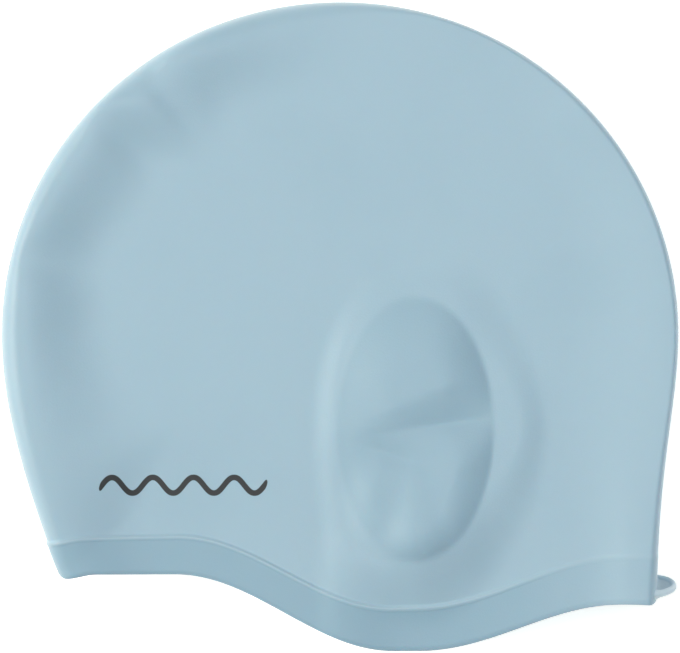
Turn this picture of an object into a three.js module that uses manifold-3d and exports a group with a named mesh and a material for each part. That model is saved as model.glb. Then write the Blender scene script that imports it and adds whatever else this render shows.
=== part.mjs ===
// A moulded silicone swim cap with ear pockets, lying on its side, in millimetres with +Z up.
// The cap is one piece: a folded crown, a pocket for each ear, a thicker rim band and a pull tab.
// It is worked out in its own folded plane: across (x) runs to the back of the head, up (y) runs to
// the crown, and out (z) leaves the plane. The near wall has out above 0 and faces up as it lies.
import * as THREE from "three";
import { mergeVertices } from "three/addons/utils/BufferGeometryUtils.js";
import Module from "manifold-3d";

// The outline of the folded crown: half an ellipse, and below it two sides that flare to the rim.
const CENTRE_UP = 105;
const HALF_LENGTH = 112.5;
const HALF_HEIGHT = 110.5;
const FRONT_SIDE = { corner: THREE.MathUtils.degToRad(131.1), flare: 10.8 };
const BACK_SIDE = { corner: THREE.MathUtils.degToRad(130.5), flare: 25.7 };
const FLARE_POWER = 3;

// The rim dips round the ears: its height in front, behind and at the lowest point of the lobe.
const RIM_FRONT_UP = 25.5;
const RIM_BACK_UP = 15.6;
const LOBE = { startsAt: -55, lowFrom: 18, lowTo: 26, endsAt: 94 };
const WAVE_FADES_BY = 0.5;
const WAVE_END_SHARE = 0.06;

// Silicone walls, and the band along the rim, which stands proud of the crown.
const WALL = 1;
const BAND_PROUD = 0.4;
const BAND_ENDS_AT = 0.042;

// Half the thickness of the folded cap, and how its walls round over and fall at the fold.
const MIDDLE_OUT = 10;
const ROUND_POWER = 1 / 4;
const ROUND_SHAPE = 3;
const FALL_SKEW = 0.8;
const ON_WALL_FROM = 9;

// The loop of the fold by the angle from the top, negative to the front: how far in the edge rounds
// over, where the fall from its crest ends, and how high the crest stands over the flat middle.
const LOOP_COLUMNS = ["angle", "edge", "foot", "height"];
const NEAR_LOOP = table(
  LOOP_COLUMNS,
  [-131, 8, 38, 3.2],
  [-120, 8.5, 54, 4.6],
  [-108, 8, 46, 5.2],
  [-92, 8, 37, 5.2],
  [-82, 7, 36, 5.4],
  [-76, 5, 33, 4.4],
  [-71, 5.5, 32, 5.2],
  [-60, 7, 35, 5],
  [-52, 6.5, 34, 4.8],
  [-48, 4, 31, 4.6],
  [-44, 5.5, 34, 5],
  [-40, 9.5, 39, 4.5],
  [-36, 8.5, 38, 3.4],
  [-32, 6.5, 36, 4],
  [-28, 6, 32, 4],
  [-20, 8, 31, 2.8],
  [-12, 9, 32, 1.7],
  [0, 6, 28, 0.4],
  [12, 2.6, 24, 0.3],
  [40, 2.4, 24, 0.4],
  [48, 2.6, 24, 1.4],
  [56, 2.4, 26, 1.4],
  [76, 2.4, 34, 3.2],
  [110, 2.4, 38, 3.4],
  [120, 3.2, 37, 3.2],
  [131, 5, 36, 3],
);
const FAR_LOOP = table(
  LOOP_COLUMNS,
  [-131, 8, 28, 2.6],
  [-110, 8, 38, 4.4],
  [-50, 8, 36, 4.4],
  [0, 4, 28, 1],
  [60, 2.6, 28, 1],
  [131, 3.2, 32, 1.6],
);

// How much thinner the cap gets at its mouth, by the place along the rim.
const MOUTH_FADES_BY = 0.25;
const MOUTH = table(
  ["across", "closes"],
  [-105, 0.04],
  [-60, 0.22],
  [0, 0.2],
  [30, 0.32],
  [60, 0.18],
  [95, 0],
);

// The ear pockets are oval, squarer low at the front. The far one is a dome on a low skirt.
const POCKET = { across: 25, up: 73.5, halfWidth: 26, halfHeight: 43.7 };
const POCKET_POWERS = { frontHigh: 2.6, frontLow: 3.8, back: 2 };
const FAR_DOME = { out: 6.5, power: 2.6, roundness: 0.6 };
const FAR_SKIRT = { out: 3.5, reach: 0.42 };

// The near pocket is half caved in, by the turn round its middle from the back, anticlockwise: how high
// its skirt stands, how far outside the oval the skirt starts to fall and where it ends, and inside the
// oval how high its dome stands near the edge, the width of the dome's flank and how sharply that bends.
const NEAR_DOME = { middle: 4.8, curve: 2.5 };
const NEAR_POCKET = table(
  ["turn", "skirt", "falls", "ends", "dome", "flank", "bend"],
  [-180, 1.9, -1.5, 9.5, 3.7, 24, 1.8],
  [-150, 2.1, -2, 12, 3.2, 22, 1.8],
  [-120, 4.4, -4, 20, 6.2, 12, 1.9],
  [-90, 6.4, -5, 24, 11, 13, 2],
  [-60, 5, -3, 23, 8.2, 13, 2],
  [-30, 2.3, 0, 20, 5, 15, 2],
  [0, 1.3, 8, 19, 5, 17, 1.9],
  [30, 1.2, 2, 18, 5, 20, 1.9],
  [60, 1.8, -3, 20, 4.8, 20, 1.8],
  [90, 1.4, -3, 12, 4.2, 22, 1.7],
  [120, 1.3, -2, 10, 3.6, 24, 1.8],
  [150, 1.7, -1.5, 9.5, 3.6, 24, 1.8],
  [180, 1.9, -1.5, 9.5, 3.7, 24, 1.8],
);

// The creases across the near pocket, by the share of their length from the front: how deep they are
// and how wide their sides are above and below.
const CREASE_COLUMNS = ["share", "depth", "above", "below"];
const CREASE_POWER = 1.3;
const MAIN_CREASE = {
  start: new THREE.Vector2(3, 71),
  end: new THREE.Vector2(51, 77.5),
  rows: table(
    CREASE_COLUMNS,
    [0, 0, 3, 3],
    [0.2, 0.9, 6, 12],
    [0.5, 2, 10, 16],
    [0.75, 2.9, 13, 15],
    [1, 3.2, 14, 13],
  ),
};
const LOWER_CREASE = {
  start: new THREE.Vector2(4, 70),
  end: new THREE.Vector2(38, 57),
  rows: table(
    CREASE_COLUMNS,
    [0, 0, 3, 6],
    [0.3, 1.6, 8, 14],
    [0.6, 1.4, 12, 20],
    [1, 0, 14, 22],
  ),
};

// A soft ridge runs from the pocket's lower front edge down to the rim: by height, its place and rise.
const RIDGE_WIDTH = { front: 10, back: 22 };
const RIDGE_STARTS = { reach: 0.95, over: 0.1 };
const RIDGE = table(
  ["up", "across", "rise"],
  [0, 1, 1],
  [18, 0.5, 1.5],
  [28, 0, 1.4],
  [40, -1, 0],
);

// The pull tab at the back of the band: half an oval plate with a rounded edge, fuller on its far side.
const TAB = {
  across: 103.4,
  up: 21,
  reach: 8.4,
  nearWidth: 13,
  farWidth: 10.6,
  nearFullness: 0.4,
  thick: 1.6,
  round: 0.4,
  tilt: THREE.MathUtils.degToRad(14),
  sides: 9,
};
const SAME_POINT = 1e-4;

// How the cap lies: the far pocket props the rim end up, and the front fold is the thicker one.
const LIE_PITCH = THREE.MathUtils.degToRad(-3.15);
const LIE_ROLL = THREE.MathUtils.degToRad(-0.34);

// How finely the walls are divided: spans of the way from the rim to the top, and of the way from the
// front fold to the back fold, each with the end of the span and its steps.
const LEVEL_SPANS = [
  { endsAt: 0.039, steps: 2 },
  { endsAt: 0.045, steps: 1 },
  { endsAt: 0.43, steps: 19 },
  { endsAt: 1, steps: 14 },
];
const NEAR_SPANS = [
  { endsAt: 0.06, steps: 7, grading: "start" },
  { endsAt: 0.42, steps: 11 },
  { endsAt: 0.8, steps: 18 },
  { endsAt: 0.95, steps: 4 },
  { endsAt: 1, steps: 6, grading: "end" },
];
const FAR_SPANS = [
  { endsAt: 0.06, steps: 6, grading: "start" },
  { endsAt: 0.95, steps: 22 },
  { endsAt: 1, steps: 5, grading: "end" },
];

// A short table: the first column is the key that its other columns go by.
function table(columns, ...rows) {
  return Object.fromEntries(columns.map((name, i) => [name, rows.map((row) => row[i])]));
}

// The slope of a table's column at one of its rows, from the rows beside it.
function rowSlope(keys, values, row) {
  const slopes = [row, row + 1]
    .filter((i) => i > 0 && i < keys.length)
    .map((i) => ({ gap: keys[i] - keys[i - 1], rise: values[i] - values[i - 1] }));
  const [first, second] = slopes;
  if (!second) return first.rise / first.gap;
  const before = (first.rise * second.gap) / first.gap;
  const after = (second.rise * first.gap) / second.gap;
  return (before + after) / (first.gap + second.gap);
}

// The columns of a table at a place between its rows, on smooth curves through them.
function rowAt(rows, key, at) {
  const keys = rows[key];
  const place = THREE.MathUtils.clamp(at, keys[0], keys.at(-1));
  const row = Math.min(keys.findLastIndex((value) => value <= place), keys.length - 2);
  const gap = keys[row + 1] - keys[row];
  const t = (place - keys[row]) / gap;
  const curve = (values) => {
    const start = values[row] * (1 + 2 * t) + rowSlope(keys, values, row) * gap * t;
    const end = values[row + 1] * (3 - 2 * t) - rowSlope(keys, values, row + 1) * gap * (1 - t);
    return start * (1 - t) ** 2 + end * t ** 2;
  };
  return Object.fromEntries(Object.entries(rows).map(([name, values]) => [name, curve(values)]));
}

// Eases from 0 to 1.
function smooth(share) {
  return 0.5 - 0.5 * Math.cos(Math.PI * THREE.MathUtils.clamp(share, 0, 1));
}

// The stops of a row of spans, closer together where a span is graded towards its start or its end.
function divide(spans) {
  const stops = [0];
  for (const { endsAt, steps, grading } of spans) {
    const start = stops.at(-1);
    for (let i = 1; i <= steps; i++) {
      const even = i / steps;
      const graded = {
        start: 1 - Math.cos((even * Math.PI) / 2),
        end: Math.sin((even * Math.PI) / 2),
      }[grading];
      stops.push(start + (endsAt - start) * (graded ?? even));
    }
  }
  return stops;
}

// The outline's distance from the crown's centre, at an angle from the top, negative to the front.
function outlineRadius(angle) {
  const side = angle < 0 ? FRONT_SIDE : BACK_SIDE;
  const turn = Math.min(Math.abs(angle), Math.PI / 2);
  const ellipse = 1 / Math.hypot(Math.sin(turn) / HALF_LENGTH, Math.cos(turn) / HALF_HEIGHT);
  const below = Math.max(0, Math.abs(angle) - Math.PI / 2) / (side.corner - Math.PI / 2);
  return ellipse + side.flare * below ** FLARE_POWER;
}

function outlinePoint(angle) {
  const radius = outlineRadius(angle);
  return new THREE.Vector2(radius * Math.sin(angle), CENTRE_UP + radius * Math.cos(angle));
}

// A point's angle from the top, and how far it lies inside the fold.
function inFold(point) {
  const angle = Math.atan2(point.x, point.y - CENTRE_UP);
  const depth = outlineRadius(angle) - Math.hypot(point.x, point.y - CENTRE_UP);
  return { angle, depth: Math.max(0, depth) };
}

// The height of the rim over its own chord from corner to corner.
function rimWave(across) {
  const drop =
    across < LOBE.lowTo
      ? smooth((across - LOBE.startsAt) / (LOBE.lowFrom - LOBE.startsAt))
      : smooth((LOBE.endsAt - across) / (LOBE.endsAt - LOBE.lowTo));
  const level = across < LOBE.lowTo ? RIM_FRONT_UP : RIM_BACK_UP;
  const front = outlinePoint(-FRONT_SIDE.corner);
  const back = outlinePoint(BACK_SIDE.corner);
  const chord = THREE.MathUtils.mapLinear(across, front.x, back.x, front.y, back.y);
  return level * (1 - drop) - chord;
}

// A point of the folded plane, from the way up from the rim and the way from the front fold.
function planePoint(way, column) {
  const front = outlinePoint(-FRONT_SIDE.corner * (1 - way));
  const back = outlinePoint(BACK_SIDE.corner * (1 - way));
  const point = front.lerp(back, column);
  const ends = smooth(Math.min(column, 1 - column) / WAVE_END_SHARE);
  const fade = 1 - smooth((way - BAND_ENDS_AT) / (WAVE_FADES_BY - BAND_ENDS_AT));
  point.y += rimWave(point.x) * ends * fade;
  return point;
}

// The folded form without its pockets: a loop at the fold that settles to the flat middle.
function foldedOut({ angle, depth }, loop) {
  const { edge, foot, height } = rowAt(loop, "angle", THREE.MathUtils.radToDeg(angle));
  const crest = MIDDLE_OUT + height;
  if (depth < edge) return crest * (1 - (1 - depth / edge) ** ROUND_SHAPE) ** ROUND_POWER;
  return crest - height * smooth(Math.min((depth - edge) / (foot - edge), 1) ** FALL_SKEW);
}

// A point's place from the pocket's middle, as shares of its half sizes.
function inPocket(point) {
  const x = (point.x - POCKET.across) / POCKET.halfWidth;
  const y = (point.y - POCKET.up) / POCKET.halfHeight;
  const front = y > 0 ? POCKET_POWERS.frontHigh : POCKET_POWERS.frontLow;
  const power = x < 0 ? front : POCKET_POWERS.back;
  const reach = (Math.abs(x) ** power + Math.abs(y) ** power) ** (1 / power);
  return { x, y, reach };
}

function farPocketOut({ reach }) {
  const skirt = FAR_SKIRT.out * (1 - smooth((reach - 1) / FAR_SKIRT.reach));
  return skirt + FAR_DOME.out * (1 - Math.min(reach, 1) ** FAR_DOME.power) ** FAR_DOME.roundness;
}

function creaseDepth(point, crease) {
  const run = crease.end.clone().sub(crease.start);
  const place = point.clone().sub(crease.start);
  const share = THREE.MathUtils.clamp(place.dot(run) / run.lengthSq(), 0, 1);
  const aside = run.cross(place) / run.length();
  const { depth, above, below } = rowAt(crease.rows, "share", share);
  const spread = Math.min(aside > 0 ? aside / above : -aside / below, 1);
  return depth * (1 - spread) ** CREASE_POWER;
}

function nearPocketOut(point, { x, y, reach }) {
  const turn = THREE.MathUtils.radToDeg(Math.atan2(y, x));
  const { skirt, falls, ends, dome, flank, bend } = rowAt(NEAR_POCKET, "turn", turn);
  const radius = Math.hypot(x * POCKET.halfWidth, y * POCKET.halfHeight) / Math.max(reach, SAME_POINT);
  const outside = (reach - 1) * radius;
  const base = skirt * (1 - smooth((Math.max(0, outside) - falls) / (ends - falls)));
  const rise = 1 - (1 - THREE.MathUtils.clamp(-outside / flank, 0, 1)) ** bend;
  const crown = THREE.MathUtils.lerp(NEAR_DOME.middle, dome, Math.min(reach, 1) ** NEAR_DOME.curve);
  const creases = creaseDepth(point, MAIN_CREASE) + creaseDepth(point, LOWER_CREASE);
  return base + (crown - creases - base) * rise;
}

function ridgeOut(point, { reach }) {
  const { across, rise } = rowAt(RIDGE, "up", point.y);
  const aside = point.x - across;
  const spread = aside < 0 ? -aside / RIDGE_WIDTH.front : aside / RIDGE_WIDTH.back;
  return rise * (1 - smooth(spread)) * smooth((reach - RIDGE_STARTS.reach) / RIDGE_STARTS.over);
}

// The middle of the mould: the near wall is dented, creased and half caved in, the far wall is plain.
function surfacePoint(way, column, facing) {
  const point = planePoint(way, column);
  const fold = inFold(point);
  const pocket = inPocket(point);
  const near = facing > 0;
  const pocketOut = near
    ? nearPocketOut(point, pocket) + ridgeOut(point, pocket)
    : farPocketOut(pocket);
  const folded = foldedOut(fold, near ? NEAR_LOOP : FAR_LOOP);
  const closes = rowAt(MOUTH, "across", point.x).closes * (1 - smooth(way / MOUTH_FADES_BY));
  const out = (folded + pocketOut * smooth(fold.depth / ON_WALL_FROM)) * (1 - closes);
  return new THREE.Vector3(point.x, point.y, facing * out);
}

// The rings of points round the cap from the rim to the top, where they close in one point.
const levels = divide(LEVEL_SPANS);
const places = [
  ...divide(NEAR_SPANS).slice(0, -1).map((column) => ({ column, facing: 1 })),
  ...divide(FAR_SPANS).slice(1).reverse().map((column) => ({ column, facing: -1 })),
];
const topPoint = new THREE.Vector3(0, CENTRE_UP + HALF_HEIGHT, 0);
const rings = levels
  .slice(0, -1)
  .map((way) => places.map(({ column, facing }) => surfacePoint(way, column, facing)));

// The outward direction at each point of a ring, from its neighbours.
function ringNormal(level, place) {
  const count = places.length;
  const ring = rings[level];
  const above = level + 1 < rings.length ? rings[level + 1][place] : topPoint;
  const below = level > 0 ? rings[level - 1][place] : ring[place];
  const along = ring[(place + 1) % count].clone().sub(ring[(place + count - 1) % count]);
  return along.cross(above.clone().sub(below)).normalize();
}

// The surface moved along its outward direction, by a distance that may change from level to level.
function offsetRings(distanceAt) {
  const moved = rings.map((ring, level) =>
    ring.map((point, place) =>
      point.clone().addScaledVector(ringNormal(level, place), distanceAt(levels[level])),
    ),
  );
  return { rings: moved, top: topPoint.clone().add(new THREE.Vector3(0, distanceAt(1), 0)) };
}

// A closed mesh from rings that close in a top point, with triangles as lists of vertex numbers.
function addSkin(mesh, skin, inward) {
  const first = mesh.points.length;
  const count = places.length;
  skin.rings.forEach((ring) => mesh.points.push(...ring));
  const top = mesh.points.push(skin.top) - 1;
  const face = (a, b, c) => mesh.faces.push(inward ? [a, c, b] : [a, b, c]);
  for (let place = 0; place < count; place++) {
    const next = (place + 1) % count;
    for (let level = 0; level + 1 < skin.rings.length; level++) {
      const here = first + level * count;
      face(here + place, here + next, here + count + next);
      face(here + place, here + count + next, here + count + place);
    }
    const last = first + (skin.rings.length - 1) * count;
    face(last + place, last + next, top);
  }
  return first;
}

function shellMesh(outer, inner) {
  const mesh = { points: [], faces: [] };
  const outerFirst = addSkin(mesh, outer, false);
  const innerFirst = addSkin(mesh, inner, true);
  for (let place = 0; place < places.length; place++) {
    const next = (place + 1) % places.length;
    mesh.faces.push([innerFirst + place, innerFirst + next, outerFirst + next]);
    mesh.faces.push([innerFirst + place, outerFirst + next, outerFirst + place]);
  }
  return mesh;
}

// The space inside the cap, closed across the mouth.
function hollowMesh(inner) {
  const mesh = { points: [], faces: [] };
  const first = addSkin(mesh, inner, false);
  const middle = new THREE.Vector3();
  inner.rings[0].forEach((point) => middle.add(point));
  const centre = mesh.points.push(middle.divideScalar(places.length)) - 1;
  for (let place = 0; place < places.length; place++) {
    const next = (place + 1) % places.length;
    mesh.faces.push([first + next, first + place, centre]);
  }
  return mesh;
}

// The tab, as a plate that lies across the back fold.
function tabMesh() {
  const outline = new THREE.Shape();
  outline.moveTo(0, -TAB.nearWidth);
  outline.quadraticCurveTo(TAB.reach, -TAB.nearWidth * TAB.nearFullness, TAB.reach, 0);
  outline.absellipse(0, 0, TAB.reach, TAB.farWidth, 0, Math.PI / 2);
  outline.closePath();
  const plate = new THREE.ExtrudeGeometry(outline, {
    depth: TAB.thick - 2 * TAB.round,
    curveSegments: TAB.sides,
    bevelThickness: TAB.round,
    bevelSize: TAB.round,
    bevelOffset: -TAB.round,
    bevelSegments: 1,
  });
  plate.translate(0, 0, TAB.round - TAB.thick / 2);
  plate.rotateX(TAB.tilt - Math.PI / 2);
  plate.translate(TAB.across, TAB.up, 0);
  plate.deleteAttribute("normal");
  plate.deleteAttribute("uv");
  const merged = mergeVertices(plate, SAME_POINT);
  const position = merged.attributes.position;
  const points = Array.from({ length: position.count }, (_, i) =>
    new THREE.Vector3().fromBufferAttribute(position, i),
  );
  const index = Array.from(merged.index.array);
  const faces = [];
  for (let i = 0; i < index.length; i += 3) faces.push(index.slice(i, i + 3));
  return { points, faces };
}

function solid(wasm, mesh) {
  const vertProperties = new Float32Array(mesh.points.flatMap((point) => point.toArray()));
  const triVerts = new Uint32Array(mesh.faces.flat());
  return new wasm.Manifold(new wasm.Mesh({ numProp: 3, vertProperties, triVerts }));
}

function geometryOf(body) {
  const mesh = body.getMesh();
  const geometry = new THREE.BufferGeometry();
  geometry.setAttribute("position", new THREE.BufferAttribute(mesh.vertProperties, 3));
  geometry.setIndex(new THREE.BufferAttribute(mesh.triVerts, 1));
  geometry.computeVertexNormals();
  return geometry;
}

// The cap: the shell, with the tab joined to the band and kept out of the hollow.
async function makeCap() {
  const wasm = await Module();
  wasm.setup();
  const outer = offsetRings((way) => (way < BAND_ENDS_AT ? BAND_PROUD : 0));
  const inner = offsetRings(() => -WALL);
  const tab = solid(wasm, tabMesh()).subtract(solid(wasm, hollowMesh(inner)));
  const body = solid(wasm, shellMesh(outer, inner)).add(tab);
  const silicone = new THREE.MeshStandardMaterial({ color: 0xa8c4d2, roughness: 0.5, metalness: 0 });
  const cap = new THREE.Mesh(geometryOf(body), silicone);
  cap.name = "cap";
  return cap;
}

// The cap lies on its far wall, with the floor under it at height 0.
const swimCap = new THREE.Group();
swimCap.add(await makeCap());
swimCap.rotation.set(LIE_PITCH, LIE_ROLL, 0);
const reach = new THREE.Box3().setFromObject(swimCap, true);
const middle = reach.getCenter(new THREE.Vector3());
swimCap.position.set(-middle.x, -middle.y, -reach.min.z);

export default swimCap;
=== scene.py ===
# A moulded silicone swim cap with ear pockets, relaxed and lying on its side on a pale floor.
# The cap is worked out in its own folded plane, in millimetres: across runs to the back of the head,
# up runs to the crown, and out leaves the plane towards the camera. The near wall faces up as it lies.
import math

import bpy
import numpy as np
from mathutils import Matrix, Vector


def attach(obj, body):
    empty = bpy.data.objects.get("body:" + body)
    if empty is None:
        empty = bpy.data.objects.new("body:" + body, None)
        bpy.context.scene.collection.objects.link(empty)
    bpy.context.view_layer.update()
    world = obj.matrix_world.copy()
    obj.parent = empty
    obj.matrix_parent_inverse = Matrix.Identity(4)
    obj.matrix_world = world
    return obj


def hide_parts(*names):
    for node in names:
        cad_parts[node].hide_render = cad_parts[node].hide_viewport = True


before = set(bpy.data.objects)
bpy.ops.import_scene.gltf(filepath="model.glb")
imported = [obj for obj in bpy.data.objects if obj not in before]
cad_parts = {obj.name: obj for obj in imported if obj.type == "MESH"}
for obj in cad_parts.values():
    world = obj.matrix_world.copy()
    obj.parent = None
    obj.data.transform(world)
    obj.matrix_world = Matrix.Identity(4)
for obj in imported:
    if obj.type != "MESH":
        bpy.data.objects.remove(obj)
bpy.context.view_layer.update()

MM = 0.001
TINY = 1e-6

# How the cap lies: the far pocket props the rim end up, and the front fold is the thicker one.
LIE_PITCH = math.radians(-3.15)
LIE_ROLL = math.radians(-0.34)

# The outline of the folded crown: half an ellipse, and below it two sides that flare to the rim.
CENTRE_UP = 105.0
HALF_LENGTH = 112.5
HALF_HEIGHT = 110.5
FRONT_CORNER = math.radians(131.1)
FRONT_FLARE = 10.8
BACK_CORNER = math.radians(130.5)
BACK_FLARE = 25.7
FLARE_POWER = 3

# The rim dips round the ears: its height in front, behind and at the lowest point of the lobe.
RIM_FRONT_UP = 25.5
RIM_BACK_UP = 15.6
LOBE_STARTS_AT = -55
LOBE_LOW_FROM = 18
LOBE_LOW_TO = 26
LOBE_ENDS_AT = 94
WAVE_FADES_BY = 0.5
WAVE_END_SHARE = 0.06
CORNER_LIFT = 1.4
CORNER_SHARE = 0.012

# Silicone walls, and the band along the rim, which stands proud of the crown under a fine bead.
WALL = 1.0
BAND_PROUD = 0.4
BAND_ENDS_AT = 0.042
BEAD_PROUD = 0.12
BEAD_HALF_WIDTH = 0.0035
BACK_FADES_FROM = 45
BACK_FADES_OVER = 45
BACK_FADES_BY = 0.7
LIP_DEEP = 0.4
LIP_RINGS = 5

# Half the thickness of the folded cap, and how its walls round over and fall at the fold.
MIDDLE_OUT = 10.0
ROUND_POWER = 1 / 4
ROUND_SHAPE = 3
FALL_SKEW = 0.8
MOUTH_FADES_BY = 0.25
ON_WALL_FROM = 9.0


def table(columns, *rows):
    """A short table: the first column is the key that its other columns go by."""
    values = np.array(rows, dtype=float)
    return {name: values[:, i] for i, name in enumerate(columns)}


# The loop of the fold by the angle from the top, negative to the front: how far in the edge rounds
# over, where the fall from its crest ends, and how high the crest stands over the flat middle.
LOOP_COLUMNS = ("angle", "edge", "foot", "height")
NEAR_LOOP = table(
    LOOP_COLUMNS,
    (-131, 8.0, 38, 3.2),
    (-120, 8.5, 54, 4.6),
    (-108, 8.0, 46, 5.2),
    (-92, 8.0, 37, 5.2),
    (-82, 7.0, 36, 5.4),
    (-76, 5.0, 33, 4.4),
    (-71, 5.5, 32, 5.2),
    (-60, 7.0, 35, 5.0),
    (-52, 6.5, 34, 4.8),
    (-48, 4.0, 31, 4.6),
    (-44, 5.5, 34, 5.0),
    (-40, 9.5, 39, 4.5),
    (-36, 8.5, 38, 3.4),
    (-32, 6.5, 36, 4.0),
    (-28, 6.0, 32, 4.0),
    (-20, 8.0, 31, 2.8),
    (-12, 9.0, 32, 1.7),
    (0, 6.0, 28, 0.4),
    (12, 2.6, 24, 0.3),
    (40, 2.4, 24, 0.4),
    (48, 2.6, 24, 1.4),
    (56, 2.4, 26, 1.4),
    (76, 2.4, 34, 3.2),
    (110, 2.4, 38, 3.4),
    (120, 3.2, 37, 3.2),
    (131, 5.0, 36, 3.0),
)
FAR_LOOP = table(
    LOOP_COLUMNS,
    (-131, 8.0, 28, 2.6),
    (-110, 8.0, 38, 4.4),
    (-50, 8.0, 36, 4.4),
    (0, 4.0, 28, 1.0),
    (60, 2.6, 28, 1.0),
    (131, 3.2, 32, 1.6),
)

# How much thinner the cap gets at its mouth, by the place along the rim.
MOUTH = table(
    ("across", "closes"),
    (-105, 0.04),
    (-60, 0.22),
    (0, 0.2),
    (30, 0.32),
    (60, 0.18),
    (95, 0.0),
)

# The ear pockets are oval, squarer low at the front. The far one is a dome on a low skirt.
POCKET_ACROSS = 25.0
POCKET_UP = 73.5
POCKET_HALF_WIDTH = 26.0
POCKET_HALF_HEIGHT = 43.7
POCKET_FRONT_HIGH_POWER = 2.6
POCKET_FRONT_LOW_POWER = 4.0
POCKET_BACK_POWER = 2.0
FAR_DOME = 6.5
FAR_SKIRT = 3.5
FAR_SKIRT_REACH = 0.42
DOME_POWER = 2.6
DOME_ROUNDNESS = 0.6

# The near pocket is half caved in, by the turn round its middle from the back, anticlockwise: how high
# its skirt stands, how far outside the oval the skirt starts to fall and where it ends, and inside the
# oval how high its dome stands near the edge, the width of the dome's flank and how sharply that bends.
NEAR_DOME_MIDDLE = 4.8
NEAR_DOME_CURVE = 2.5
NEAR_POCKET = table(
    ("turn", "skirt", "falls", "ends", "dome", "flank", "bend"),
    (-180, 1.9, -1.5, 9.5, 3.7, 24, 1.8),
    (-150, 1.4, -2, 11, 2.2, 22, 1.8),
    (-120, 3.0, -4, 20, 4.6, 13, 1.9),
    (-90, 6.4, -5, 24, 11, 13, 2.0),
    (-60, 5.0, -3, 23, 8.2, 13, 2.0),
    (-30, 2.3, 0, 20, 5.0, 15, 2.0),
    (0, 1.3, 8, 19, 5.0, 17, 1.9),
    (30, 1.2, 2, 18, 5.0, 20, 1.9),
    (60, 1.8, -3, 20, 4.8, 20, 1.8),
    (90, 1.4, -3, 12, 4.2, 22, 1.7),
    (120, 1.3, -2, 10, 3.6, 24, 1.8),
    (150, 1.7, -1.5, 9.5, 3.6, 24, 1.8),
    (180, 1.9, -1.5, 9.5, 3.7, 24, 1.8),
)

# The creases across the near pocket, by the share of their length from the front: how deep they are
# and how wide their sides are above and below.
CREASE_COLUMNS = ("share", "depth", "above", "below")
CREASE_POWER = 1.3
MAIN_CREASE = {
    "start": np.array([3.0, 71.0]),
    "end": np.array([51.0, 77.5]),
    "rows": table(
        CREASE_COLUMNS,
        (0, 0.0, 3, 3),
        (0.2, 0.9, 6, 12),
        (0.5, 2.0, 10, 16),
        (0.75, 2.9, 13, 15),
        (1, 3.2, 14, 13),
    ),
}
LOWER_CREASE = {
    "start": np.array([4.0, 70.0]),
    "end": np.array([38.0, 57.0]),
    "rows": table(
        CREASE_COLUMNS,
        (0, 0.0, 3, 6),
        (0.3, 1.6, 8, 14),
        (0.6, 1.4, 12, 20),
        (1, 0.0, 14, 22),
    ),
}

# A soft ridge runs from the pocket's lower front edge down to the rim: by height, its place and rise.
RIDGE_FRONT = 10.0
RIDGE_BACK = 22.0
RIDGE_STARTS_AT = 0.95
RIDGE_STARTS_OVER = 0.1
RIDGE = table(
    ("up", "across", "rise"),
    (0, 1.0, 1.0),
    (18, 0.5, 1.4),
    (28, 0.0, 1.0),
    (40, -1.0, 0.0),
)

# The pull tab at the back of the band: half an oval tongue with a bead round its edge.
TAB_UP = 21.0
TAB_REACH = 7.0
TAB_NEAR_HALF_WIDTH = 13.0
TAB_FAR_HALF_WIDTH = 10.6
TAB_TILT = math.radians(14)
TAB_WEB = 0.9
TAB_BEAD = 2.5
TAB_BEAD_STARTS = 0.72
TAB_BEAD_CREST = 0.86
TAB_ROOT_DEEP = 0.5
TAB_FILLET = 0.9
TAB_FILLET_REACH = 2.0
TAB_FILLET_POWER = 4
TAB_NEAR_TAPER = 2.3
TAB_TURNS = 48
TAB_RINGS = 14
WALL_SEARCH_STEPS = 6
WALL_SHARE_MOST = 0.999

# How finely the walls are divided: spans of the way from the rim to the top, and of the way from the
# front fold to the back fold, each with the end of the span, its steps and where it is graded.
NEAR_COLUMNS = ((0.06, 24, "start"), (0.42, 72, ""), (0.8, 96, ""), (0.95, 24, ""), (1.0, 22, "end"))
FAR_COLUMNS = ((0.06, 14, "start"), (0.95, 70, ""), (1.0, 12, "end"))
OUTER_LEVELS = ((0.036, 8, ""), (0.048, 16, ""), (0.44, 100, ""), (1.0, 62, ""))
INNER_LEVELS = ((0.06, 3, ""), (0.44, 24, ""), (1.0, 16, ""))

# The camera looks square on to the folded plane, from a distance in metres. The plane's middle line and
# its lowest line are at these pixels of the picture, from the left and from the top.
PIXELS_WIDE = 680
PIXELS_HIGH = 653
PIXELS_PER_MM = 3.0
MIDDLE_PIXEL = 340
LOWEST_PIXEL = 649
CAMERA_AWAY = 2.2
SENSOR = 36.0

# The look of the silicone: its colour is darker in the thick band, partly for its thickness and partly
# as painted shade where the band turns from the light, and darker inside the pockets as painted shade
# whose tone fades at their edge. A painted highlight makes the fine bead paler. The colour drifts a
# little, and the surface has a fine grain.
SILICONE = (0.325, 0.47, 0.575, 1)
SILICONE_THICK_AND_SHADED = (0.25, 0.395, 0.5, 1)
SILICONE_HIGHLIGHT = (0.58, 0.71, 0.79, 1)
POCKET_SHADE = 0.5
POCKET_TONE_ENDS_AT = 0.95
POCKET_TONE_ENDS_OVER = 0.1
BEAD_HIGHLIGHT = 0.28
SILICONE_ROUGHNESS = 0.48
SILICONE_SHEEN = 0.3
SILICONE_SUBSURFACE = 0.15
SILICONE_SUBSURFACE_SCALE = 0.003
NOISE_MIDDLE = 0.5
DRIFT = 0.5
DRIFT_SCALE = 28
GRAIN_SCALE = 1400
GRAIN_DEEP = 0.00004

# A plain wavy line is printed low at the front: its middle line, ends, waves and thickness.
PRINT_UP = 54.8
PRINT_FROM = -79.0
PRINT_TO = -25.0
PRINT_WAVES = 4
PRINT_HALF_HEIGHT = 2.6
PRINT_HALF_THICKNESS = 1.0
PRINT_BLUR = 0.12
PRINT_INK = (0.012, 0.013, 0.015, 1)

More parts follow.
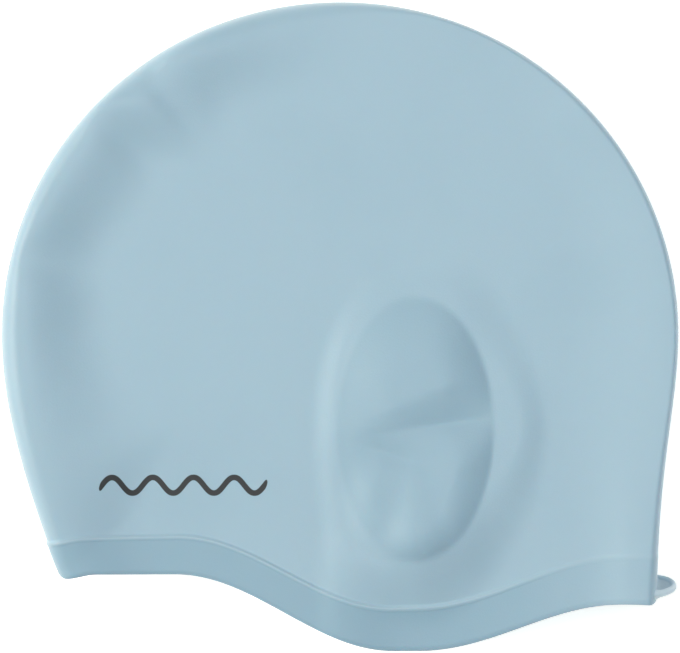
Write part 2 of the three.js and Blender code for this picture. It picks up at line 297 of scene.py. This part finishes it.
# The pale floor glows a little, so that it stays near white round the cap.
FLOOR_SIZE = 6
FLOOR_COLOUR = (0.93, 0.93, 0.93, 1)
FLOOR_ROUGHNESS = 0.9
FLOOR_GLOW = (1, 0.96, 0.88, 1)
FLOOR_GLOW_STRENGTH = 0.56

# The studio's soft lights, which all face the cap: name, place, size, power and colour. A faint sky
# fills in between them.
LIGHTS = (
    ("key", (-3.15, 0.6, 2.7), 2.55, 173, (1, 0.95, 0.84)),
    ("edge", (-1.4, -0.1, 0.25), 0.5, 0.15, (1, 0.97, 0.8)),
    ("front", (0.2, 0.25, 2.4), 1.0, 19, (0.88, 0.96, 1)),
    ("back", (1.7, -0.1, 0.3), 0.5, 5.4, (1, 0.99, 0.97)),
)
SKY_COLOUR = (0.84, 0.94, 1, 1)
SKY_STRENGTH = 0.2


def smooth(share):
    """Eases from 0 to 1."""
    return 0.5 - 0.5 * np.cos(math.pi * np.clip(share, 0, 1))


def row_value(rows, key, at, column):
    """A column of a table at a place between its rows, on a smooth curve through them."""
    keys = rows[key]
    values = rows[column]
    slopes = np.gradient(values, keys)
    at = np.clip(at, keys[0], keys[-1])
    row = np.clip(np.searchsorted(keys, at, side="right") - 1, 0, len(keys) - 2)
    gap = keys[row + 1] - keys[row]
    t = (at - keys[row]) / gap
    start = values[row] * (1 + 2 * t) * (1 - t) ** 2 + slopes[row] * gap * t * (1 - t) ** 2
    end = values[row + 1] * t**2 * (3 - 2 * t) - slopes[row + 1] * gap * t**2 * (1 - t)
    return start + end


def outline_radius(angle):
    """The outline's distance from the crown's centre, by the angle, which is negative to the front."""
    turn = np.minimum(np.abs(angle), math.pi / 2)
    ellipse = 1 / np.hypot(np.sin(turn) / HALF_LENGTH, np.cos(turn) / HALF_HEIGHT)
    corner = np.where(angle < 0, FRONT_CORNER, BACK_CORNER)
    flare = np.where(angle < 0, FRONT_FLARE, BACK_FLARE)
    below = np.maximum(0, np.abs(angle) - math.pi / 2) / (corner - math.pi / 2)
    return ellipse + flare * below**FLARE_POWER


def outline_point(angle):
    radius = outline_radius(angle)
    return radius * np.sin(angle), CENTRE_UP + radius * np.cos(angle)


def polar(across, up):
    """The angle of a point from the top, and how far it lies inside the fold."""
    angle = np.arctan2(across, up - CENTRE_UP)
    return angle, outline_radius(angle) - np.hypot(across, up - CENTRE_UP)


def rim_wave(across):
    """The height of the rim over its own chord from corner to corner."""
    drop = np.where(
        across < LOBE_LOW_TO,
        smooth((across - LOBE_STARTS_AT) / (LOBE_LOW_FROM - LOBE_STARTS_AT)),
        smooth((LOBE_ENDS_AT - across) / (LOBE_ENDS_AT - LOBE_LOW_TO)),
    )
    level = np.where(across < LOBE_LOW_TO, RIM_FRONT_UP, RIM_BACK_UP)
    front = outline_point(np.float64(-FRONT_CORNER))
    back = outline_point(np.float64(BACK_CORNER))
    share = (across - front[0]) / (back[0] - front[0])
    return level * (1 - drop) - (front[1] * (1 - share) + back[1] * share)


def plane_point(way, column):
    """A point of the folded plane, from the way up from the rim and the way from the front fold."""
    front = outline_point(-FRONT_CORNER * (1 - way))
    back = outline_point(BACK_CORNER * (1 - way))
    across = front[0] * (1 - column) + back[0] * column
    chord = front[1] * (1 - column) + back[1] * column
    from_fold = np.minimum(column, 1 - column)
    wave = rim_wave(across) * smooth(from_fold / WAVE_END_SHARE)
    fade = 1 - smooth((way - BAND_ENDS_AT) / (WAVE_FADES_BY - BAND_ENDS_AT))
    corner = CORNER_LIFT * np.maximum(0, 1 - from_fold / CORNER_SHARE) ** 2
    return across, chord + wave * fade + corner * np.maximum(0, 1 - way / BAND_ENDS_AT) ** 2


def folded_out(across, up, loop):
    """The folded form without its pockets: a loop at the fold that settles to the flat middle."""
    angle, depth = polar(across, up)
    edge, foot, height = (
        row_value(loop, "angle", np.degrees(angle), name) for name in ("edge", "foot", "height")
    )
    depth = np.maximum(0, depth)
    crest = MIDDLE_OUT + height
    round_over = (1 - (1 - np.minimum(depth / edge, 1)) ** ROUND_SHAPE) ** ROUND_POWER
    fall = np.clip((depth - edge) / (foot - edge), 0, 1) ** FALL_SKEW
    return np.where(depth < edge, crest * round_over, crest - height * smooth(fall))


def pocket_place(across, up):
    return (across - POCKET_ACROSS) / POCKET_HALF_WIDTH, (up - POCKET_UP) / POCKET_HALF_HEIGHT


def pocket_reach(across, up):
    """The way from the pocket's middle, which is 1 along its oval edge."""
    x, y = pocket_place(across, up)
    front_power = np.where(y > 0, POCKET_FRONT_HIGH_POWER, POCKET_FRONT_LOW_POWER)
    power = np.where(x < 0, front_power, POCKET_BACK_POWER)
    return (np.abs(x) ** power + np.abs(y) ** power) ** (1 / power)


def far_pocket_out(across, up):
    reach = pocket_reach(across, up)
    skirt = FAR_SKIRT * (1 - smooth((reach - 1) / FAR_SKIRT_REACH))
    return skirt + FAR_DOME * (1 - np.minimum(reach, 1) ** DOME_POWER) ** DOME_ROUNDNESS


def crease_depth(across, up, crease):
    run = crease["end"] - crease["start"]
    length = math.hypot(*run)
    x = across - crease["start"][0]
    y = up - crease["start"][1]
    share = np.clip((x * run[0] + y * run[1]) / length**2, 0, 1)
    aside = (run[0] * y - run[1] * x) / length
    depth, above, below = (
        row_value(crease["rows"], "share", share, name) for name in ("depth", "above", "below")
    )
    spread = np.minimum(np.where(aside > 0, aside / above, -aside / below), 1)
    return depth * (1 - spread) ** CREASE_POWER


def near_pocket_out(across, up):
    x, y = pocket_place(across, up)
    reach = np.maximum(pocket_reach(across, up), TINY)
    turn = np.degrees(np.arctan2(y, x))
    height, falls, ends, crest, flank, bend = (
        row_value(NEAR_POCKET, "turn", turn, name)
        for name in ("skirt", "falls", "ends", "dome", "flank", "bend")
    )
    radius = np.hypot(x * POCKET_HALF_WIDTH, y * POCKET_HALF_HEIGHT) / reach
    outside = (reach - 1) * radius
    skirt = height * (1 - smooth((np.maximum(0, outside) - falls) / (ends - falls)))
    rise = 1 - (1 - np.clip(-outside / flank, 0, 1)) ** bend
    dome = NEAR_DOME_MIDDLE + (crest - NEAR_DOME_MIDDLE) * np.minimum(reach, 1) ** NEAR_DOME_CURVE
    creases = crease_depth(across, up, MAIN_CREASE) + crease_depth(across, up, LOWER_CREASE)
    return skirt + (dome - creases - skirt) * rise


def ridge_out(across, up):
    place, rise = (row_value(RIDGE, "up", up, name) for name in ("across", "rise"))
    aside = across - place
    spread = np.where(aside < 0, -aside / RIDGE_FRONT, aside / RIDGE_BACK)
    outside = smooth((pocket_reach(across, up) - RIDGE_STARTS_AT) / RIDGE_STARTS_OVER)
    return rise * (1 - smooth(spread)) * outside


def near_out(across, up):
    _, depth = polar(across, up)
    pocket = near_pocket_out(across, up) + ridge_out(across, up)
    return folded_out(across, up, NEAR_LOOP) + pocket * smooth(depth / ON_WALL_FROM)


def far_out(across, up):
    _, depth = polar(across, up)
    return folded_out(across, up, FAR_LOOP) + far_pocket_out(across, up) * smooth(depth / ON_WALL_FROM)


def surface(way, column, near):
    across, up = plane_point(way, column)
    closes = row_value(MOUTH, "across", across, "closes") * (1 - smooth(way / MOUTH_FADES_BY))
    out = np.where(near, near_out(across, up), -far_out(across, up)) * (1 - closes)
    return np.stack([across, up, out], axis=-1)


def divide(spans):
    """The stops of a row of spans, closer together where a span is graded."""
    stops = [np.zeros(1)]
    start = 0.0
    for ends_at, steps, grading in spans:
        share = np.arange(1, steps + 1) / steps
        if grading == "start":
            share = 1 - np.cos(share * math.pi / 2)
        if grading == "end":
            share = np.sin(share * math.pi / 2)
        stops.append(start + (ends_at - start) * share)
        start = ends_at
    return np.concatenate(stops)


def skin(levels, proud):
    """The rings of a wall's skin, moved off the middle surface, and its top point."""
    near = divide(NEAR_COLUMNS)
    far = divide(FAR_COLUMNS)
    column = np.concatenate([near[:-1], far[::-1][:-1]])
    is_near = np.arange(len(column)) < len(near) - 1
    ways = divide(levels)[:-1]
    points = surface(ways[:, None], column[None, :], is_near[None, :])
    top = np.array([0.0, CENTRE_UP + HALF_HEIGHT, 0.0])
    along = np.roll(points, -1, axis=1) - np.roll(points, 1, axis=1)
    above = np.concatenate([points[1:], np.broadcast_to(top, points[:1].shape)])
    below = np.concatenate([points[:1], points[:-1]])
    normal = np.cross(along, above - below)
    normal /= np.linalg.norm(normal, axis=-1, keepdims=True)
    distance = proud(ways[:, None], points[..., 0])[..., None]
    top = top + np.array([0.0, float(proud(1.0, 0.0)), 0.0])
    return points + normal * distance, top, ways


def back_fade(across):
    """The band and its bead fade towards the back."""
    return 1 - BACK_FADES_BY * smooth((across - BACK_FADES_FROM) / BACK_FADES_OVER)


def band_proud(way, across):
    """The band stands over the crown, with a fine round bead along its upper edge."""
    band = BAND_PROUD * (1 - smooth((way - BAND_ENDS_AT) / BEAD_HALF_WIDTH))
    from_bead = np.clip((way - BAND_ENDS_AT) / BEAD_HALF_WIDTH, -1, 1)
    return (band + BEAD_PROUD * np.sqrt(1 - from_bead**2)) * back_fade(across)


def wall_inside(way, across):
    return np.full(np.broadcast(way, across).shape, -WALL)


def ring_faces(first, next_first, count):
    """The faces between two rings of points, given by their first points."""
    here = np.arange(count)
    after = (here + 1) % count
    return np.stack([first + here, first + after, next_first + after, next_first + here], -1).tolist()


def lip_rings(outer, inner):
    """The round lip of the rim, from the outer skin to the inner one."""
    down = outer[0] - outer[1]
    down /= np.linalg.norm(down, axis=-1, keepdims=True)
    turns = math.pi * np.arange(1, LIP_RINGS) / LIP_RINGS
    middle = (outer[0] + inner[0]) / 2
    across = outer[0] - middle
    return [middle + across * math.cos(t) + down * LIP_DEEP * math.sin(t) for t in turns]


def cap_mesh():
    """The cap's points and faces, each point's way up from the rim, and which points are outside."""
    outer, outer_top, outer_ways = skin(OUTER_LEVELS, band_proud)
    inner, inner_top, inner_ways = skin(INNER_LEVELS, wall_inside)
    count = outer.shape[1]
    lip = lip_rings(outer, inner)
    rings = [*inner[::-1], *reversed(lip), *outer]
    ways = [*inner_ways[::-1], *np.zeros(len(lip)), *outer_ways]
    points = np.concatenate([*rings, inner_top[None], outer_top[None]])
    ways = np.concatenate([np.repeat(ways, count), [1, 1]])
    is_outside = np.arange(len(rings)) >= len(rings) - len(outer)
    is_outside = np.concatenate([np.repeat(is_outside, count), [False, True]])
    faces = []
    for ring in range(len(rings) - 1):
        faces += ring_faces(ring * count, (ring + 1) * count, count)
    last = (len(rings) - 1) * count
    inner_top_at = len(points) - 2
    for place in range(count):
        after = (place + 1) % count
        faces.append([after, place, inner_top_at])
        faces.append([last + place, last + after, inner_top_at + 1])
    return points, faces, ways, is_outside


def wall_at(up, out):
    """Where the back fold's outer face is at a height, at a distance from the folded plane."""
    angle = np.arctan2(HALF_LENGTH, up - CENTRE_UP)
    for _ in range(WALL_SEARCH_STEPS):
        angle = np.arctan2(outline_radius(angle) * np.sin(angle), up - CENTRE_UP)
    edge, height = (
        row_value(NEAR_LOOP, "angle", np.degrees(angle), name) for name in ("edge", "height")
    )
    share = np.minimum(np.abs(out) / (MIDDLE_OUT + height), WALL_SHARE_MOST)
    depth = edge * (1 - (1 - share ** (1 / ROUND_POWER)) ** (1 / ROUND_SHAPE))
    return outline_radius(angle) * np.sin(angle) - depth + BAND_PROUD


def tab_bead_rise(ring):
    """How far the tongue has risen from its web to its bead, by the way out to its edge."""
    return smooth((ring - TAB_BEAD_STARTS) / (TAB_BEAD_CREST - TAB_BEAD_STARTS))


def tab_half_thickness(ring, reach):
    """Half the tongue's thickness: a thin web, a bead round its edge and a fillet at its root."""
    round_off = np.clip((ring - TAB_BEAD_CREST) / (1 - TAB_BEAD_CREST), 0, 1)
    thickness = TAB_WEB + (TAB_BEAD - TAB_WEB) * tab_bead_rise(ring)
    body = thickness / 2 * np.sqrt(1 - round_off**2)
    fillet = TAB_FILLET * (1 - smooth(reach / TAB_FILLET_REACH))
    return body + fillet * np.sqrt(1 - ring**TAB_FILLET_POWER)


def tab_points():
    """The tongue's points, both sides alike, and how far each is on the way out to its edge."""
    turns = np.linspace(-math.pi / 2, math.pi / 2, TAB_TURNS + 1)
    rings = np.sin(np.linspace(0, math.pi / 2, TAB_RINGS + 1))[1:]
    taper = np.maximum(np.cos(turns), 0) ** np.where(turns > 0, TAB_NEAR_TAPER, 1)
    reach = np.concatenate([[0], (rings[:, None] * taper * TAB_REACH).ravel()])
    half_width = np.where(turns > 0, TAB_NEAR_HALF_WIDTH, TAB_FAR_HALF_WIDTH)
    aside = np.concatenate([[0], (rings[:, None] * np.sin(turns) * half_width).ravel()])
    ring = np.concatenate([[0], np.repeat(rings, len(turns))])
    half = tab_half_thickness(ring, reach)
    across = wall_at(TAB_UP - aside * math.sin(TAB_TILT), aside) + reach - TAB_ROOT_DEEP
    points = []
    for side in (1, -1):
        up = TAB_UP - aside * math.sin(TAB_TILT) + side * half * math.cos(TAB_TILT)
        out = aside * math.cos(TAB_TILT) + side * half * math.sin(TAB_TILT)
        points.append(np.stack([across, up, out], -1))
    return np.concatenate(points), np.concatenate([ring, ring])


def tab_side_faces(first, count, facing_down):
    """The faces of one side of the tongue: a fan round its middle, and rings of quads."""
    faces = []
    for turn in range(count - 1):
        fan = [first, first + 1 + turn, first + 2 + turn]
        faces.append(fan if facing_down else fan[::-1])
        for ring in range(TAB_RINGS - 1):
            corner = first + 1 + ring * count + turn
            quad = [corner, corner + count, corner + count + 1, corner + 1]
            faces.append(quad if facing_down else quad[::-1])
    return faces


def tab_faces():
    """The faces of both sides of the tongue, round its edge and across its root."""
    count = TAB_TURNS + 1
    size = 1 + TAB_RINGS * count
    faces = tab_side_faces(0, count, False) + tab_side_faces(size, count, True)
    for corner in range(size - count, size - 1):
        faces.append([corner, corner + 1, size + corner + 1, size + corner])
    for end in (0, count - 1):
        line = [0] + [1 + ring * count + end for ring in range(TAB_RINGS)]
        for here, after in zip(line, line[1:]):
            quad = [here, after, size + after, size + here]
            faces.append(quad if end == 0 else quad[::-1])
    return faces


def lie_down(points):
    """Points of the folded plane in millimetres, turned as the cap lies, in metres."""
    turn = Matrix.Rotation(LIE_PITCH, 3, "X") @ Matrix.Rotation(LIE_ROLL, 3, "Y")
    return points @ np.array(turn).T * MM


def add_mesh(name, points, faces):
    mesh = bpy.data.meshes.new(name)
    mesh.from_pydata(points.tolist(), [], faces)
    mesh.shade_smooth()
    made = bpy.data.objects.new(name, mesh)
    bpy.context.scene.collection.objects.link(made)
    return made


def add_attribute(mesh, name, values):
    attribute = mesh.attributes.new(name, "FLOAT", "POINT")
    attribute.data.foreach_set("value", np.asarray(values, dtype=np.float32))


def thickness_and_shade(points, ways):
    """How much darker the silicone's colour is: in the thick band partly for its thickness and partly
    as painted shade, which fades towards the back where the band faces the light, and in the pockets as
    painted shade.
    """
    across, up = points[:, 0], points[:, 1]
    band = 1 - smooth((ways - BAND_ENDS_AT) / BEAD_HALF_WIDTH)
    band *= back_fade(across)
    reach = np.hypot(*pocket_place(across, up))
    pocket = POCKET_SHADE * (1 - smooth((reach - POCKET_TONE_ENDS_AT) / POCKET_TONE_ENDS_OVER))
    return np.maximum(band, pocket)


def bead_highlight(points, ways):
    """Where the fine bead is, with a painted highlight that makes it a little paler than the walls."""
    on_bead = np.clip(1 - np.abs(ways - BAND_ENDS_AT) / BEAD_HALF_WIDTH, 0, 1)
    return BEAD_HIGHLIGHT * back_fade(points[:, 0]) * on_bead


def value_output(tree, name):
    """The values of a mesh attribute."""
    node = tree.nodes.new("ShaderNodeAttribute")
    node.attribute_name = name
    return node.outputs["Fac"]


def noise_output(tree, place, scale):
    node = tree.nodes.new("ShaderNodeTexNoise")
    node.inputs["Scale"].default_value = scale
    tree.links.new(place, node.inputs["Vector"])
    return node.outputs["Fac"]


def math_node(tree, operation, *values):
    """A math node whose inputs are numbers or the outputs of other nodes."""
    node = tree.nodes.new("ShaderNodeMath")
    node.operation = operation
    for place, value in enumerate(values):
        if isinstance(value, (int, float)):
            node.inputs[place].default_value = value
        else:
            tree.links.new(value, node.inputs[place])
    return node.outputs["Value"]


def mix_colours(tree, share, first, second):
    """A mix of two colours, each a value or the output of another node."""
    node = tree.nodes.new("ShaderNodeMix")
    node.data_type = "RGBA"
    tree.links.new(share, node.inputs["Factor"])
    for socket, colour in (("A", first), ("B", second)):
        if isinstance(colour, tuple):
            node.inputs[socket].default_value = colour
        else:
            tree.links.new(colour, node.inputs[socket])
    return node.outputs["Result"]


def print_share(tree):
    """Where the wavy line is printed, from the places on the folded plane that the points carry."""

    def maths(operation, *values):
        return math_node(tree, operation, *values)

    across = value_output(tree, "across")
    up = value_output(tree, "up")
    turns = 2 * math.pi * PRINT_WAVES / (PRINT_TO - PRINT_FROM)
    phase = maths("MULTIPLY", maths("SUBTRACT", across, PRINT_FROM), turns)
    wave = maths("MULTIPLY", maths("SINE", phase), PRINT_HALF_HEIGHT)
    slope = maths("MULTIPLY", maths("COSINE", phase), PRINT_HALF_HEIGHT * turns)
    steepness = maths("SQRT", maths("ADD", maths("POWER", slope, 2), 1))
    above_line = maths("SUBTRACT", maths("SUBTRACT", up, PRINT_UP), wave)
    off_line = maths("DIVIDE", maths("ABSOLUTE", above_line), steepness)
    off_middle = maths("ABSOLUTE", maths("SUBTRACT", across, (PRINT_FROM + PRINT_TO) / 2))
    past_end = maths("MAXIMUM", maths("SUBTRACT", off_middle, (PRINT_TO - PRINT_FROM) / 2), 0)
    squares = maths("ADD", maths("POWER", off_line, 2), maths("POWER", past_end, 2))
    inside = maths("SUBTRACT", PRINT_HALF_THICKNESS, maths("SQRT", squares))
    edge = maths("MINIMUM", maths("MAXIMUM", maths("DIVIDE", inside, PRINT_BLUR), 0), 1)
    return maths("MULTIPLY", edge, value_output(tree, "near_outside"))


def silicone_colour(tree, place):
    """The silicone's colour with its drift, its darker band of thick silicone and painted shade, the
    painted shade in its pockets, the painted highlight along its bead, and the print over it.
    """
    drift = math_node(tree, "SUBTRACT", noise_output(tree, place, DRIFT_SCALE), NOISE_MIDDLE)
    drift = math_node(tree, "MULTIPLY", drift, DRIFT)
    # Darker for the band's thickness and for painted shade, then paler for the painted highlight on the
    # bead.
    darkening = math_node(tree, "ADD", value_output(tree, "thickness_and_shade"), drift)
    thick_and_shaded_colour = mix_colours(tree, math_node(tree, "MAXIMUM", darkening, 0), SILICONE, SILICONE_THICK_AND_SHADED)
    bare = mix_colours(tree, value_output(tree, "painted_highlight"), thick_and_shaded_colour, SILICONE_HIGHLIGHT)
    return mix_colours(tree, print_share(tree), bare, PRINT_INK)


def silicone_grain(tree, place):
    bump = tree.nodes.new("ShaderNodeBump")
    bump.inputs["Distance"].default_value = GRAIN_DEEP
    tree.links.new(noise_output(tree, place, GRAIN_SCALE), bump.inputs["Height"])
    return bump.outputs["Normal"]


def silicone_material():
    material = bpy.data.materials.new("silicone")
    material.use_nodes = True
    tree = material.node_tree
    place = tree.nodes.new("ShaderNodeTexCoord").outputs["Object"]
    inputs = tree.nodes["Principled BSDF"].inputs
    inputs["Roughness"].default_value = SILICONE_ROUGHNESS
    inputs["Sheen Weight"].default_value = SILICONE_SHEEN
    inputs["Subsurface Weight"].default_value = SILICONE_SUBSURFACE
    inputs["Subsurface Scale"].default_value = SILICONE_SUBSURFACE_SCALE
    tree.links.new(silicone_colour(tree, place), inputs["Base Color"])
    tree.links.new(silicone_grain(tree, place), inputs["Normal"])
    return material


def floor_material():
    material = bpy.data.materials.new("floor_white")
    material.use_nodes = True
    inputs = material.node_tree.nodes["Principled BSDF"].inputs
    inputs["Base Color"].default_value = FLOOR_COLOUR
    inputs["Roughness"].default_value = FLOOR_ROUGHNESS
    inputs["Emission Color"].default_value = FLOOR_GLOW
    inputs["Emission Strength"].default_value = FLOOR_GLOW_STRENGTH
    return material


def area_light(name, place, size, power, colour):
    light = bpy.data.objects.new(name, bpy.data.lights.new(name, "AREA"))
    light.data.shape = "DISK"
    light.data.size = size
    light.data.energy = power
    light.data.color = colour
    light.location = place
    light.rotation_euler = (-Vector(place)).to_track_quat("-Z", "Y").to_euler()
    bpy.context.scene.collection.objects.link(light)


silicone = silicone_material()

# The cap, moved so that the middle of its box is over the origin and it rests on the floor.
cap_points, cap_faces, cap_ways, cap_outside = cap_mesh()
laid = lie_down(cap_points)
low, high = laid.min(0), laid.max(0)
SHIFT = -np.array([(low[0] + high[0]) / 2, (low[1] + high[1]) / 2, low[2]])
cap = add_mesh("swim_cap", laid + SHIFT, cap_faces)
# The points carry painted shade in the band and pockets, and a painted highlight along the bead.
add_attribute(cap.data, "thickness_and_shade", thickness_and_shade(cap_points, cap_ways))
add_attribute(cap.data, "painted_highlight", bead_highlight(cap_points, cap_ways))
add_attribute(cap.data, "across", cap_points[:, 0])
add_attribute(cap.data, "up", cap_points[:, 1])
add_attribute(cap.data, "near_outside", cap_outside & (cap_points[:, 2] > 0))
cap.data.materials.append(silicone)
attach(cap, "root")
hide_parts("cap")

# The pull tab, with painted shade on its web and a painted highlight on its bead.
tongue, tongue_rings = tab_points()
tab = add_mesh("pull_tab", lie_down(tongue) + SHIFT, tab_faces())
add_attribute(tab.data, "thickness_and_shade", 1 - tab_bead_rise(tongue_rings))
add_attribute(tab.data, "painted_highlight", tab_bead_rise(tongue_rings))
tab.data.materials.append(silicone)
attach(tab, "root")

# The floor.
bpy.ops.mesh.primitive_plane_add(size=FLOOR_SIZE, location=(0, 0, 0))
floor = bpy.context.object
floor.name = "floor"
floor.data.materials.append(floor_material())

# The camera, square to the folded plane.
turn = Matrix.Rotation(LIE_PITCH, 4, "X") @ Matrix.Rotation(LIE_ROLL, 4, "Y")
centre = Vector((
    (PIXELS_WIDE / 2 - MIDDLE_PIXEL) / PIXELS_PER_MM * MM,
    (LOWEST_PIXEL - PIXELS_HIGH / 2) / PIXELS_PER_MM * MM,
    CAMERA_AWAY,
))
camera = bpy.data.objects.new("camera", bpy.data.cameras.new("camera"))
bpy.context.scene.collection.objects.link(camera)
camera.matrix_world = Matrix.Translation(Vector(SHIFT)) @ turn @ Matrix.Translation(centre)
camera.data.sensor_width = SENSOR
camera.data.lens = SENSOR * CAMERA_AWAY / (PIXELS_WIDE / PIXELS_PER_MM * MM)
bpy.context.scene.camera = camera

# The studio's lights and its sky.
for light in LIGHTS:
    area_light(*light)
world = bpy.data.worlds.new("studio")
bpy.context.scene.world = world
world.use_nodes = True
sky = world.node_tree.nodes["Background"].inputs
sky["Color"].default_value = SKY_COLOUR
sky["Strength"].default_value = SKY_STRENGTH
bpy.context.scene.view_settings.view_transform = "Standard"
